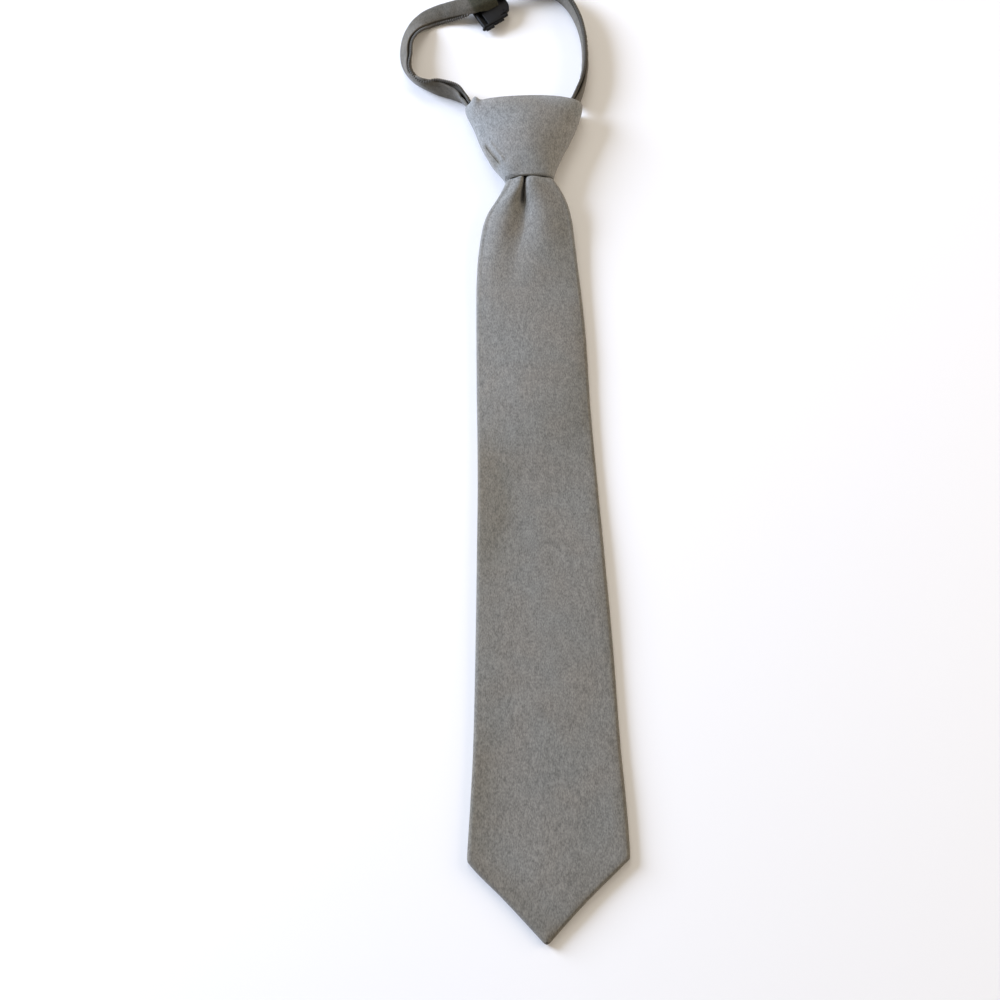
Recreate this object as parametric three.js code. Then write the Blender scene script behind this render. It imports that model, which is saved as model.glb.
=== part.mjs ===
// A zipper tie lying on its back: a padded blade, a made-up knot, two zipper neck bands and a plastic clip.
// Millimetres, +Z up. X runs across the tie, Y from the tip to the knot. The tie is built with its tip at
// the origin and then moved, so that the origin is at the bottom centre of the whole part.
import * as THREE from "three";

// Sizes of the blade
const bladeLength = 381; // from the tip to the mouth of the knot
const bladeWidth = 70; // between the two corners above the tip
const padThickness = 4.2; // folded cloth and padding, lying flat
const neckInKnot = 36; // the gathered end of the blade inside the knot
const seamWidth = 1.4; // the groove of the centre seam in the back
const seamDepth = 0.8;

// Sizes of the knot
const knotLength = 48;
const knotWidth = 62; // across the top
const knotThickness = 19.5; // at the thickest place
const knotWall = 1.8; // wrapped cloth

// Sizes of the neck bands and of the zipper in them
const loopWidth = 104; // across both bands
const loopDepth = 86; // from the top of the knot to the back of the neck
const sleeveWidth = 9.2;
const sleeveThickness = 3.2;
const ply = 0.95; // one layer of sleeve cloth
const tapeThickness = 0.5;
const tapeDepth = 6.4; // how far the tape goes into the sleeve
const coilWidth = 2.1; // the coil stands out of the sleeve by this much
const coilThickness = 1.8;
const tailLength = 118; // closed zipper below the mouth of the knot
const tailWidth = 15;
const tailThickness = 2.4;
const sliderLength = 11;
const sliderWidth = 9;
const sliderThickness = 4.6;

// Sizes of the clip
const clipLength = 19.5;
const clipWidth = 19;
const clipThickness = 2.6;
const clipBar = 1.5;
const clipSlot = 2;
const clipTurn = THREE.MathUtils.degToRad(29.5); // its long axis, from X
const clipTilt = THREE.MathUtils.degToRad(6); // its far end is up
const clipLift = 2.2; // the bar above the floor

const clearance = 0.35; // between pieces that touch on the real tie

// Colours and surfaces
const cloth = new THREE.MeshStandardMaterial({ color: 0x84847f, roughness: 0.95, metalness: 0 });
const tape = new THREE.MeshStandardMaterial({ color: 0x6f7271, roughness: 0.85, metalness: 0 });
const plastic = new THREE.MeshStandardMaterial({ color: 0x1b1b1e, roughness: 0.4, metalness: 0 });
const metal = new THREE.MeshStandardMaterial({ color: 0x8d8f92, roughness: 0.35, metalness: 1 });

// A table is a line of column names and rows of numbers; it gives one object for each row.
function table(columns, rows) {
  const names = columns.split(" ");
  return rows.map((row) => Object.fromEntries(names.map((name, i) => [name, row[i]])));
}

// The row of a table at a share, with straight lines between its rows.
function rowAt(rows, share) {
  const next = Math.max(1, rows.findIndex((row) => row.at >= share));
  const [a, b] = [rows[next - 1], rows[next]];
  const t = (share - a.at) / (b.at - a.at);
  return Object.fromEntries(Object.keys(a).map((name) => [name, THREE.MathUtils.lerp(a[name], b[name], t)]));
}

// A closed body through rings that all have the same number of points. Its two ends get caps, cut from the
// flat outline `cap`; without one, the last ring runs on into the first, as in a tube with a wall.
function skin(rings, cap) {
  const count = rings[0].length;
  const index = [];
  const last = cap ? rings.length - 1 : rings.length;
  for (let i = 0; i < last; i++) {
    for (let j = 0; j < count; j++) {
      const a = i * count + j;
      const b = i * count + ((j + 1) % count);
      const step = (((i + 1) % rings.length) - i) * count;
      index.push(a, b, b + step, a, b + step, a + step);
    }
  }
  if (cap) {
    const end = (rings.length - 1) * count;
    const turned = THREE.ShapeUtils.isClockWise(cap);
    for (const [a, b, c] of THREE.ShapeUtils.triangulateShape(cap, [])) {
      const [p, q] = turned ? [c, a] : [a, c];
      index.push(q, b, p, end + p, end + b, end + q);
    }
  }
  const geometry = new THREE.BufferGeometry().setFromPoints(rings.flat()).setIndex(index);
  if (volume(geometry) < 0) index.reverse();
  geometry.setIndex(index);
  return geometry;
}

// The volume that a geometry's triangles enclose, negative if they face inwards.
function volume(geometry) {
  const place = geometry.getAttribute("position");
  const corner = [0, 1, 2].map(() => new THREE.Vector3());
  let sum = 0;
  for (let i = 0; i < geometry.index.count; i += 3) {
    corner.forEach((v, k) => v.fromBufferAttribute(place, geometry.index.getX(i + k)));
    sum += corner[0].dot(corner[1].cross(corner[2])) / 6;
  }
  return sum;
}

// The knot. A row gives a share of its length, its half widths as shares of half the knot's width, its
// thickness as a share of the knot's, the height of its side folds as a share of the thickness there, how
// far its edge bows down at the sides, as a share of its length, and how square its front is: 2.4 is a flat
// front with round shoulders, and 1.7 is nearly a roof with a soft ridge.
const knotTable = table("at left right thick side bow front", [
  [0.0, 0.34, 0.43, 0.79, 0.68, 0, 2.2],
  [0.12, 0.46, 0.465, 0.84, 0.64, 0, 2],
  [0.26, 0.61, 0.54, 0.9, 0.58, 0, 1.8],
  [0.41, 0.72, 0.645, 0.96, 0.52, 0, 1.7],
  [0.54, 0.805, 0.745, 0.99, 0.48, 0, 1.7],
  [0.78, 0.93, 0.885, 1, 0.46, 0.004, 1.9],
  [0.93, 1.02, 0.955, 0.95, 0.46, 0.012, 2.3],
  [1.0, 1.055, 0.975, 0.89, 0.46, 0.018, 2.4],
]);
const backPower = 5; // how square the back of a section is
const knotPoints = 28;

// The section of the knot at a share of its length, shrunk by `inset` all round.
function knotSection(share, inset) {
  const row = rowAt(knotTable, share);
  const thick = row.thick * knotThickness;
  return {
    share,
    left: (row.left * knotWidth) / 2 - inset,
    right: (row.right * knotWidth) / 2 - inset,
    side: thick * row.side,
    front: thick * (1 - row.side) - inset,
    back: thick * row.side - inset,
    bow: row.bow * knotLength,
    frontPower: row.front,
  };
}

// Height of a section's front or back above the floor, at a distance from the axis.
function knotHeight(section, x, facing) {
  const across = Math.min(1, Math.abs(x) / (x < 0 ? section.left : section.right));
  const power = facing > 0 ? section.frontPower : backPower;
  const reach = facing > 0 ? section.front : -section.back;
  return section.side + reach * (1 - across ** power) ** (1 / power);
}

function knotRing(share, inset, past = 0) {
  const section = knotSection(share, inset);
  const y = bladeLength + share * knotLength + past;
  return Array.from({ length: knotPoints }, (_, i) => {
    const angle = (2 * Math.PI * i) / knotPoints;
    const [c, s] = [Math.cos(angle), Math.sin(angle)];
    const power = s > 0 ? section.frontPower : backPower;
    const half = c < 0 ? section.left : section.right;
    const x = Math.sign(c) * half * Math.abs(c) ** (2 / power);
    const reach = s > 0 ? section.front : section.back;
    const z = section.side + Math.sign(s) * reach * Math.abs(s) ** (2 / power);
    return new THREE.Vector3(x, y - section.bow * (x / half) ** 2, z);
  });
}

function knotGeometry() {
  const shares = knotTable.map((row) => row.at);
  const lip = knotWall / 2; // the rims of the cloth are round
  const outside = shares.map((share) => knotRing(share, 0));
  const inside = shares.map((share) => knotRing(share, knotWall)).reverse();
  return skin([
    ...outside,
    knotRing(1, lip * 0.3, lip * 0.7),
    knotRing(1, lip, lip),
    knotRing(1, lip * 1.7, lip * 0.7),
    ...inside,
    knotRing(0, lip * 1.7, -lip * 0.7),
    knotRing(0, lip, -lip),
    knotRing(0, lip * 0.3, -lip * 0.7),
  ]);
}

// The closed zipper behind the blade lies on the floor and climbs over the knot's wall to the slider.
const stackBase = knotWall + clearance; // what lies on the knot's back wall starts here
const tailStart = bladeLength - tailLength;
const sliderStart = bladeLength + 0.3 * knotLength;
const sliderEnd = sliderStart + sliderLength;
const climb = 22; // the length over which the tail climbs to the mouth

function tailBase(y) {
  return stackBase * THREE.MathUtils.smoothstep(y, bladeLength - climb, bladeLength - knotWall);
}

function tailGeometry() {
  const mouth = knotSection(0, knotWall + clearance);
  const half = Math.min(tailWidth / 2, Math.min(mouth.left, mouth.right) * 0.75);
  const ridge = half * 0.18; // the closed coil stands a little above its tapes
  // The tail's lower corners are round enough for the knot's back wall.
  const corner = knotHeight(mouth, half, -1) - stackBase;
  const cut = knotHeight(mouth, half * 0.8, -1) - stackBase;
  const ys = [tailStart, bladeLength - climb];
  for (let i = 1; i <= 6; i++) ys.push(bladeLength - climb + (i * (climb - knotWall)) / 6);
  ys.push(sliderStart - clearance);
  const right = [
    [half * 0.5, 0],
    [half * 0.8, cut],
    [half, corner],
    [half, tailThickness * 0.75],
    [ridge * 1.5, tailThickness * 0.75],
    [ridge, tailThickness],
  ];
  const left = right.map(([x, z]) => [-x, z]).reverse();
  const outline = [...right, ...left];
  const rings = ys.map((y) => outline.map(([x, z]) => new THREE.Vector3(x, y, z + tailBase(y))));
  return skin(rings, outline.map(([x, z]) => new THREE.Vector2(x, z)));
}

function sliderGeometry() {
  const [top, foot, neck] = [sliderWidth / 2, sliderWidth * 0.38, sliderLength * 0.45];
  const shape = new THREE.Shape();
  shape.moveTo(-foot, 0);
  shape.lineTo(foot, 0);
  shape.lineTo(foot, neck);
  shape.lineTo(top, sliderLength * 0.8);
  shape.lineTo(top * 0.7, sliderLength);
  shape.lineTo(-top * 0.7, sliderLength);
  shape.lineTo(-top, sliderLength * 0.8);
  shape.lineTo(-foot, neck);
  shape.closePath();
  const geometry = new THREE.ExtrudeGeometry(shape, { depth: sliderThickness, bevelEnabled: false });
  return geometry.translate(0, sliderStart, stackBase);
}

// The blade. A row gives a share of its length, its half widths as shares of half the blade's width, how much
// it is carried by the zipper's tail below it, the height of its edges above the floor, its padding in the
// middle and at its edges and its lobes as shares of the padding, and where the valley between the lobes is.
const bladeTable = table("at left right over edge pad rim lobes valley", [
  [0.0, 0.02, 0.02, 0, 0, 0.8, 0.75, 0, 0],
  [0.012, 0.14, 0.14, 0, 0, 0.9, 0.85, 0, 0],
  [0.05, 0.525, 0.55, 0, 0, 1, 0.92, 0, 0],
  [0.0865, 0.915, 0.985, 0, 0, 1.05, 0.95, 0, 0],
  [0.092, 0.954, 1.044, 0, 0, 1.05, 0.95, 0, 0],
  [0.105, 0.946, 1.043, 0, 0, 1.05, 0.95, 0, 0],
  [0.16, 0.906, 1.023, 0, 0, 1.08, 0.95, 0, 0],
  [0.218, 0.871, 0.989, 0, 0, 1.1, 0.95, 0, 0],
  [0.339, 0.834, 0.951, 0, 0, 1.12, 0.95, 0, 0],
  [0.467, 0.806, 0.889, 0, 0, 1.14, 0.95, 0, 0],
  [0.56, 0.79, 0.84, 0.15, 0, 1.16, 0.95, 0, 0],
  [0.62, 0.789, 0.808, 0.6, 0, 1.18, 0.95, 0, 0],
  [0.67, 0.794, 0.788, 1, 0, 1.2, 0.96, 0, 0],
  [0.75, 0.794, 0.774, 1, 0.05, 1.22, 0.98, 0, -0.1],
  [0.827, 0.789, 0.729, 1, 0.2, 1.3, 1, 0.06, -0.4],
  [0.87, 0.771, 0.691, 1, 0.4, 1.35, 1.05, 0.16, -0.4],
  [0.905, 0.731, 0.663, 1, 0.6, 1.4, 1.1, 0.3, -0.36],
  [0.932, 0.68, 0.64, 1, 0.8, 1.42, 1.15, 0.46, -0.3],
  [0.95, 0.61, 0.61, 1, 1, 1.42, 1.2, 0.6, -0.24],
  [0.966, 0.5, 0.557, 1, 1.2, 1.4, 1.25, 0.72, -0.2],
  [0.982, 0.395, 0.485, 1, 1.4, 1.36, 1.3, 0.82, -0.18],
  [0.9955, 0.335, 0.39, 1, 1.5, 1.3, 1.3, 0.8, -0.16],
]);
const edgeSteps = [0, 0.13, 0.5, 1]; // across the round edge, as shares of its radius
const acrossSteps = [0.88, 0.66, 0.42, 0.2, 0.08]; // from the edge's round to the valley

// One cross-section of the blade, from its real heights and half widths.
function bladeRing({ y, left, right, underMid, underEdge, topMid, topEdge, lobes, valley }) {
  const round = Math.min((topEdge - underEdge) / 2, left * 0.8, right * 0.8);
  const point = (x, top) => {
    const half = x < 0 ? left : right;
    const reach = (x < valley ? left + valley : right - valley) - round;
    const w = Math.min(1, Math.abs(x - valley) / reach);
    const under = THREE.MathUtils.lerp(underMid, underEdge, (x / half) ** 2);
    const over = THREE.MathUtils.lerp(topMid, topEdge, w * w) + lobes * Math.sin(Math.PI * w ** 0.65);
    const inward = Math.min(1, (half - Math.abs(x)) / round);
    const swell = Math.sqrt(Math.max(0, 1 - (1 - inward) ** 2));
    const middle = (under + over) / 2;
    return new THREE.Vector3(x, y, middle + ((top ? over : under) - middle) * swell);
  };
  const side = (sign, half) => [
    ...edgeSteps.map((step) => sign * (half - step * round)),
    ...acrossSteps.map((step) => valley + (sign * (half - round) - valley) * step),
  ];
  const top = [...side(-1, left), valley, ...side(1, right).reverse()];
  const seam = Math.min(seamWidth / 2, left * 0.3);
  const under = [];
  for (const [sign, half] of [[1, right], [-1, left]]) {
    const steps = [...edgeSteps.slice(1).map((step) => half - step * round), half * 0.55, seam];
    under.push(...(sign > 0 ? steps : steps.reverse()).map((x) => sign * x));
    if (sign > 0) under.push(0);
  }
  const ring = [...top.map((x) => point(x, true)), ...under.map((x) => point(x, false))];
  ring[top.length + under.indexOf(0)].z += Math.min(seamDepth, (topMid - underMid) * 0.25);
  return ring;
}

// The blade outside the knot.
function openRow(row) {
  const y = row.at * bladeLength;
  const left = (row.left * bladeWidth) / 2;
  const right = (row.right * bladeWidth) / 2;
  const narrow = Math.min(left, right);
  // The underside is an arch that clears the edges of the tail.
  const bay = 1 - Math.min(0.5, (tailWidth / 2 / narrow) ** 2);
  const need = tailBase(y) + tailThickness + clearance;
  const edge = row.edge * padThickness;
  const underMid = row.over * Math.max(need, (need - edge * (1 - bay)) / bay);
  return {
    y,
    left,
    right,
    underMid,
    underEdge: edge,
    topMid: underMid + row.pad * padThickness,
    topEdge: edge + row.rim * padThickness,
    lobes: row.lobes * padThickness,
    valley: row.valley * left,
  };
}

// The gathered neck of the blade, inside the knot: it fills the knot's front half.
function neckRow(y, fill) {
  const section = knotSection((y - bladeLength) / knotLength, knotWall + clearance);
  const [left, right] = [section.left * fill, section.right * fill];
  const round = Math.min(left, right) * 0.45;
  const base = stackBase + (y > sliderStart - 4 ? sliderThickness : tailThickness) + clearance;
  const shoulder = Math.min(
    knotHeight(section, round - left, 1),
    knotHeight(section, right - round, 1),
  );
  const top = Math.min(knotHeight(section, 0, 1), shoulder + padThickness / 2) - clearance;
  const topEdge = Math.min(shoulder - clearance * 3, top);
  const lobes = (top - base) * 0.3;
  return {
    y,
    left,
    right,
    underMid: base,
    underEdge: base + (topEdge - base) * 0.1,
    topMid: top - lobes,
    topEdge: topEdge - lobes * 0.3,
    lobes: lobes * 0.8,
    valley: -0.16 * left,
  };
}

function bladeGeometry() {
  const rows = bladeTable.map(openRow);
  rows.push(neckRow(bladeLength - knotWall / 2, 0.97));
  rows.push(neckRow(bladeLength + knotLength * 0.12, 0.9));
  rows.push(neckRow(bladeLength + knotLength * 0.3, 0.62));
  rows.push(neckRow(bladeLength + neckInKnot, 0.46));
  const rings = rows.map(bladeRing);
  return skin(rings, rings.at(-1).map((p) => new THREE.Vector2(p.x, p.z)));
}

// The clip's plate. Its own frame has X along it, from the bar to the round end, and its lower face at Z 0.
function clipShape() {
  const half = clipWidth / 2;
  const corner = clipBar * 0.6;
  const notch = clipLength * 0.62; // the step in one long side
  const step = clipWidth * 0.12;
  const shape = new THREE.Shape();
  shape.moveTo(corner, -half);
  shape.lineTo(notch, -half);
  shape.lineTo(notch, step - half);
  shape.lineTo(clipLength - half * 0.6, step - half);
  shape.quadraticCurveTo(clipLength, step - half, clipLength, half * -0.1);
  shape.lineTo(clipLength, half * 0.5);
  shape.quadraticCurveTo(clipLength, half, clipLength - half * 0.5, half);
  shape.lineTo(corner, half);
  shape.quadraticCurveTo(0, half, 0, half - corner);
  shape.lineTo(0, corner - half);
  shape.quadraticCurveTo(0, -half, corner, -half);
  const slot = new THREE.Path();
  slot.moveTo(clipBar, clipBar - half);
  slot.lineTo(clipBar, half - clipBar);
  slot.lineTo(clipBar + clipSlot, half - clipBar);
  slot.lineTo(clipBar + clipSlot, clipBar - half);
  slot.closePath();
  shape.holes.push(slot);
  return shape;
}

const rimY = bladeLength + knotLength; // the top of the knot
const clipPlace = new THREE.Matrix4()
  .makeTranslation(-0.255 * loopWidth, rimY + 0.772 * loopDepth, clipLift)
  .multiply(new THREE.Matrix4().makeRotationZ(clipTurn))
  .multiply(new THREE.Matrix4().makeRotationY(-clipTilt));

function clipGeometry() {
  const plate = new THREE.ExtrudeGeometry(clipShape(), {
    depth: clipThickness,
    bevelEnabled: false,
    curveSegments: 4,
  });
  return plate.applyMatrix4(clipPlace);
}

// A place on the clip, at shares of its length and width and a height over its lower face.
function onClip(along, across, height) {
  return new THREE.Vector3(along * clipLength, across * clipWidth, height).applyMatrix4(clipPlace);
}

// The neck bands. Each runs from the slider to the clip. A row gives its place across and along the neck
// loop, its lean (0 flat with the coil inwards, 90 on edge with the coil up), and the height of its lowest
// point above the floor, in millimetres.
const leftTable = table("across along lean lift", [
  [-0.286, 0.021, 93, 0.35],
  [-0.312, 0.101, 97, 0],
  [-0.375, 0.163, 77, 0],
  [-0.453, 0.199, 80, 0],
  [-0.535, 0.236, 114, 0],
  [-0.596, 0.311, 98, 0],
  [-0.626, 0.436, 59, 0],
  [-0.627, 0.564, 50, 0],
  [-0.595, 0.689, 27, 0],
  [-0.539, 0.782, -2, 0],
  [-0.455, 0.823, -18, 0.3],
  [-0.368, 0.834, -26, 1.8],
]);
const rightTable = table("across along lean lift", [
  [0.253, 0.02, 62, 0.35],
  [0.268, 0.1, 84, 0],
  [0.292, 0.19, 88, 0],
  [0.31, 0.3, 90, 0],
  [0.317, 0.44, 90, 0],
  [0.312, 0.58, 90, 0],
  [0.288, 0.72, 90, 0],
  [0.238, 0.86, 90, 0],
  [0.168, 0.955, 88, 0],
  [0.085, 1.005, 80, 0],
  [0.005, 1, 50, 1],
]);

// The band inside the knot, pressed narrower, from the slider up to the knot's rim.
const rimLean = 62;
const rimSqueeze = 0.76;
const rimRise = 0.9; // in millimetres, over the knot's back wall

function hiddenRows(side, rim) {
  const squeeze = 0.72;
  const start = sliderEnd - clearance * 3;
  const offset = (sleeveWidth / 2 + coilWidth) * squeeze + clearance * 2;
  return [0, 0.35, 0.7].map((t) => ({
    x: THREE.MathUtils.lerp(side * offset, rim.x, t),
    y: THREE.MathUtils.lerp(start, rim.y, t),
    lean: THREE.MathUtils.lerp(0, rimLean, t),
    squeeze,
    lift: stackBase + t,
  }));
}

function bandRows(side, rows, last) {
  const open = rows.map((row, i) => ({
    x: row.across * loopWidth,
    y: rimY + row.along * loopDepth,
    lean: row.lean,
    lift: row.lift,
    squeeze: i ? 1 : rimSqueeze,
  }));
  open[0].lift += stackBase + rimRise;
  return [...hiddenRows(side, open[0]), ...open, ...last];
}

// The outline of the sleeve: folded cloth, open along its upper edge. X runs across its thickness, Y from
// the fold to the open edge, with 0 in the middle of its width.
function sleeveOutline() {
  const outer = sleeveThickness / 2;
  const inner = outer - ply;
  const [foot, top] = [-sleeveWidth / 2, sleeveWidth / 2];
  const arc = (radius, steps, centre) =>
    Array.from({ length: steps + 1 }, (_, i) => {
      const angle = (Math.PI * i) / steps;
      return new THREE.Vector2(-radius * Math.cos(angle), centre - radius * Math.sin(angle));
    });
  return [
    new THREE.Vector2(-outer, top - ply / 2),
    ...arc(outer, 4, foot + outer),
    new THREE.Vector2(outer, top - ply / 2),
    new THREE.Vector2(outer - ply * 0.35, top),
    new THREE.Vector2(inner, top - ply * 0.2),
    ...arc(inner, 2, foot + outer + clearance).reverse(),
    new THREE.Vector2(-inner, top - ply * 0.2),
    new THREE.Vector2(ply * 0.35 - outer, top),
  ];
}

// The outline of the zipper tape and its coil, in the same frame.
function zipperOutline() {
  const half = tapeThickness / 2;
  const bead = coilThickness / 2;
  const top = sleeveWidth / 2;
  const right = [
    [half, top - tapeDepth],
    [half, top + clearance / 2],
    [bead, top + clearance * 1.6],
    [bead, top + coilWidth - bead * 0.4],
    [half, top + coilWidth],
  ];
  const left = right.map(([x, y]) => [-x, y]).reverse();
  // The order of the points is that of the sleeve's inner wall, so that the facets of both lie alike.
  return [...right, ...left].reverse().map(([x, y]) => new THREE.Vector2(x, y));
}

// The directions of a section: across its width, from the fold to the coil, and across its thickness.
function bandFrame(side, heading, lean) {
  const level = new THREE.Vector3(heading.x, heading.y, 0).normalize();
  const inward = new THREE.Vector3(-level.y, level.x, 0).multiplyScalar(side);
  const angle = THREE.MathUtils.degToRad(lean);
  const wide = inward.multiplyScalar(Math.cos(angle)).setZ(Math.sin(angle));
  const thick = new THREE.Vector3().crossVectors(wide, level).multiplyScalar(side);
  return { wide, thick };
}

// Places sections along a smooth path through the rows, each with its lowest point at the path's height.
function stations(side, rows, count) {
  const outline = [...sleeveOutline(), ...zipperOutline()];
  const smooth = (pick) => new THREE.CatmullRomCurve3(rows.map((row) => new THREE.Vector3(...pick(row))));
  const path = smooth((row) => [row.x, row.y, row.lift]);
  const turn = smooth((row) => [row.lean, row.squeeze, 0]);
  return Array.from({ length: count + 1 }, (_, i) => {
    const middle = path.getPoint(i / count);
    const { x: lean, y: squeeze } = turn.getPoint(i / count);
    const { wide, thick } = bandFrame(side, path.getTangent(i / count), lean);
    const lowest = Math.min(...outline.map((p) => thick.z * p.x + wide.z * p.y * squeeze));
    middle.z = Math.max(0, middle.z) - lowest;
    return { middle, wide, thick, squeeze };
  });
}

function sweep(outline, places) {
  const rings = places.map(({ middle, wide, thick, squeeze }) =>
    outline.map((p) =>
      middle
        .clone()
        .addScaledVector(thick, p.x)
        .addScaledVector(wide, p.y * squeeze),
    ),
  );
  return skin(rings, outline);
}

// Both bands end on top of the clip, the left one over its bar and the right one over its round end.
function clipEnd(lean, squeeze, shares) {
  return shares.map(([along, across]) => {
    const { x, y, z } = onClip(along, across, clipThickness + clearance);
    return { x, y, lift: z, lean, squeeze };
  });
}
const leftEnd = clipEnd(-20, 0.94, [[0.12, 0.32], [0.42, 0.3], [0.74, 0.29]]);
const rightEnd = clipEnd(0, 0.8, [[1.1, 0.36], [0.8, 0.33]]);

const bandSteps = 76;
const leftStations = stations(-1, bandRows(-1, leftTable, leftEnd), bandSteps);
const rightStations = stations(1, bandRows(1, rightTable, rightEnd), bandSteps);

const tie = new THREE.Group();
function add(name, geometry, material) {
  const mesh = new THREE.Mesh(geometry, material);
  mesh.name = name;
  tie.add(mesh);
}

add("blade", bladeGeometry(), cloth);
add("knot", knotGeometry(), cloth);
add("neck_band_left", sweep(sleeveOutline(), leftStations), cloth);
add("neck_band_right", sweep(sleeveOutline(), rightStations), cloth);
add("zipper_left", sweep(zipperOutline(), leftStations), tape);
add("zipper_right", sweep(zipperOutline(), rightStations), tape);
add("zipper_slider", sliderGeometry(), metal);
add("zipper_tail", tailGeometry(), cloth);
add("neck_clip", clipGeometry(), plastic);

// The origin goes to the bottom centre of the whole part.
const box = new THREE.Box3().setFromObject(tie, true);
const centre = box.getCenter(new THREE.Vector3());
tie.position.set(-centre.x, -centre.y, -box.min.z);
const group = new THREE.Group();
group.add(tie);

export default group;
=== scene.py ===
"""A zipper tie that lies on its back: padded blade, made-up knot, two zipper neck bands and a plastic clip.

Lengths are in metres. The pieces are worked out in the tie's own frame, with its tip at the origin, +Y
towards the knot and +Z up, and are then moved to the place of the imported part.
"""

import math

import bmesh
import bpy
from mathutils import Matrix, Vector, noise


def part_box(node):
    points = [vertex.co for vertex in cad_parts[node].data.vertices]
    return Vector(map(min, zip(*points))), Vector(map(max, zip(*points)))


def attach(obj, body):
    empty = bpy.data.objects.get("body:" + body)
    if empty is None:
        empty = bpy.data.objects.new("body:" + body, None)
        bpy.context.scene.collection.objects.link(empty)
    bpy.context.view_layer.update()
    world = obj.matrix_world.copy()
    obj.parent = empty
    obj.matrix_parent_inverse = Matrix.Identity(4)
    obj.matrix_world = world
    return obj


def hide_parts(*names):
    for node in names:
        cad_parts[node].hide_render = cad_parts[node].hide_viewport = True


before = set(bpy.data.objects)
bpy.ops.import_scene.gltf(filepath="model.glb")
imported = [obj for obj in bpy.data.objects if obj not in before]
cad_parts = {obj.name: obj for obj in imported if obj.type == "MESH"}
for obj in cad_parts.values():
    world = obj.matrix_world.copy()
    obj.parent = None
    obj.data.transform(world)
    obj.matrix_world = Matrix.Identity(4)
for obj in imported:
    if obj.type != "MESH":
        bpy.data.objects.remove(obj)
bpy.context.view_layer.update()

bl_info = {
    "name": "Zipper tie",
    "version": (1, 0, 0),
    "blender": (4, 5, 0),
    "location": "View3D > Sidebar > Tie",
    "description": "Builds a made-up zipper tie lying flat",
    "category": "Add Mesh",
}

MM = 0.001
CLEARANCE = 0.35 * MM  # between neighbouring pieces, as in the solids


def length(name, description, default, **more):
    """A length in metres, given in millimetres."""
    return bpy.props.FloatProperty(
        name=name, description=description, default=default * MM, min=0, unit="LENGTH", precision=4, **more
    )


def colour(name, description, code):
    """A colour, given as an sRGB hex value."""
    return bpy.props.FloatVectorProperty(
        name=name, description=description, default=linear(code)[:3], size=3, min=0, max=1, subtype="COLOR"
    )


def linear(code):
    """An sRGB hex value such as "84847f" as a linear colour with alpha."""
    parts = [int(code[i : i + 2], 16) / 255 for i in (0, 2, 4)]
    return (*[p / 12.92 if p <= 0.04045 else ((p + 0.055) / 1.055) ** 2.4 for p in parts], 1.0)


class TieSizes(bpy.types.PropertyGroup):
    """Sizes that the pieces share."""

    blade_length: length("Blade length", "From the tip to the mouth of the knot", 381)
    blade_width: length("Blade width", "Between the two corners above the tip", 70)
    pad: length("Padding", "Folded cloth and padding, lying flat", 4.2)
    knot_length: length("Knot length", "From the mouth to the top", 48)
    knot_width: length("Knot width", "Across the top", 62)
    knot_thickness: length("Knot thickness", "At the thickest place", 19.5)
    knot_wall: length("Knot wall", "Wrapped cloth", 1.8)
    loop_width: length("Loop width", "Across both neck bands", 104)
    loop_depth: length("Loop depth", "From the top of the knot to the back of the neck", 86)
    sleeve_width: length("Sleeve width", "From the fold to the open edge", 9.2)
    sleeve_thickness: length("Sleeve thickness", "Both layers with the tape between them", 3.2)
    ply: length("Ply", "One layer of sleeve cloth", 0.95)
    tape_depth: length("Tape depth", "How far the zipper tape goes into the sleeve", 6.4)
    tape_thickness: length("Tape thickness", "Woven zipper tape", 0.5)
    coil_width: length("Coil width", "How far the coil stands out of the sleeve", 2.1)
    coil_thickness: length("Coil thickness", "Across the coil", 1.8)
    coil_pitch: length("Coil pitch", "From one turn of the coil to the next", 1.25)
    tail_length: length("Tail length", "Closed zipper below the mouth of the knot", 118)
    tail_width: length("Tail width", "Both tapes of the closed zipper", 13)
    tail_thickness: length("Tail thickness", "Closed zipper", 2.4)
    stitch: length("Stitch length", "One stitch of the seams", 2.4)


class TieColours(bpy.types.PropertyGroup):
    """Colours of the tie's materials."""

    cloth: colour("Cloth", "Brushed cloth of the blade and the knot", "82827f")
    # Partly painted shade: this colour multiplies the blade and knot cloth by the tone attribute. It darkens
    # the knot's tuck crease and facet as if they were shaded, and it makes other places darker and warmer.
    cloth_darkening: colour("Brushed back", "What multiplies the cloth where its nap lies the other way", "d8cfbf")
    band: colour("Band cloth", "The same cloth on the sleeves", "5c584f")
    end: colour("Sleeve end", "What multiplies the band cloth over the clip", "b4bbab")
    tape: colour("Zipper tape", "Woven polyester tape", "57534a")
    coil: colour("Coil", "Nylon coil", "57534b")
    thread: colour("Thread", "Sewing thread", "5f5c57")
    plastic: colour("Clip", "Moulded black plastic", "060607")
    zinc: colour("Slider", "Die-cast zinc", "9a9b9d")
    floor: colour("Floor", "Plain pale floor", "f1f0ee")


# Materials


def add_node(tree, kind, settings=None, inputs=None):
    """Adds a node, sets its properties, and sets or links its inputs."""
    node = tree.nodes.new(kind)
    for name, value in (settings or {}).items():
        setattr(node, name, value)
    for name, value in (inputs or {}).items():
        socket = node.inputs[name]
        if isinstance(value, bpy.types.NodeSocket):
            tree.links.new(value, socket)
        else:
            socket.default_value = value
    return node


def new_material(name, shader):
    """A material with one Principled shader, its tree and that shader; an old one of the name is reused."""
    old = bpy.data.materials.get(name)
    if old:
        return old, None, None
    material = bpy.data.materials.new(name)
    material.use_nodes = True
    tree = material.node_tree
    tree.nodes.clear()
    principled = add_node(tree, "ShaderNodeBsdfPrincipled", None, shader)
    add_node(tree, "ShaderNodeOutputMaterial", None, {"Surface": principled.outputs["BSDF"]})
    return material, tree, principled


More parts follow.
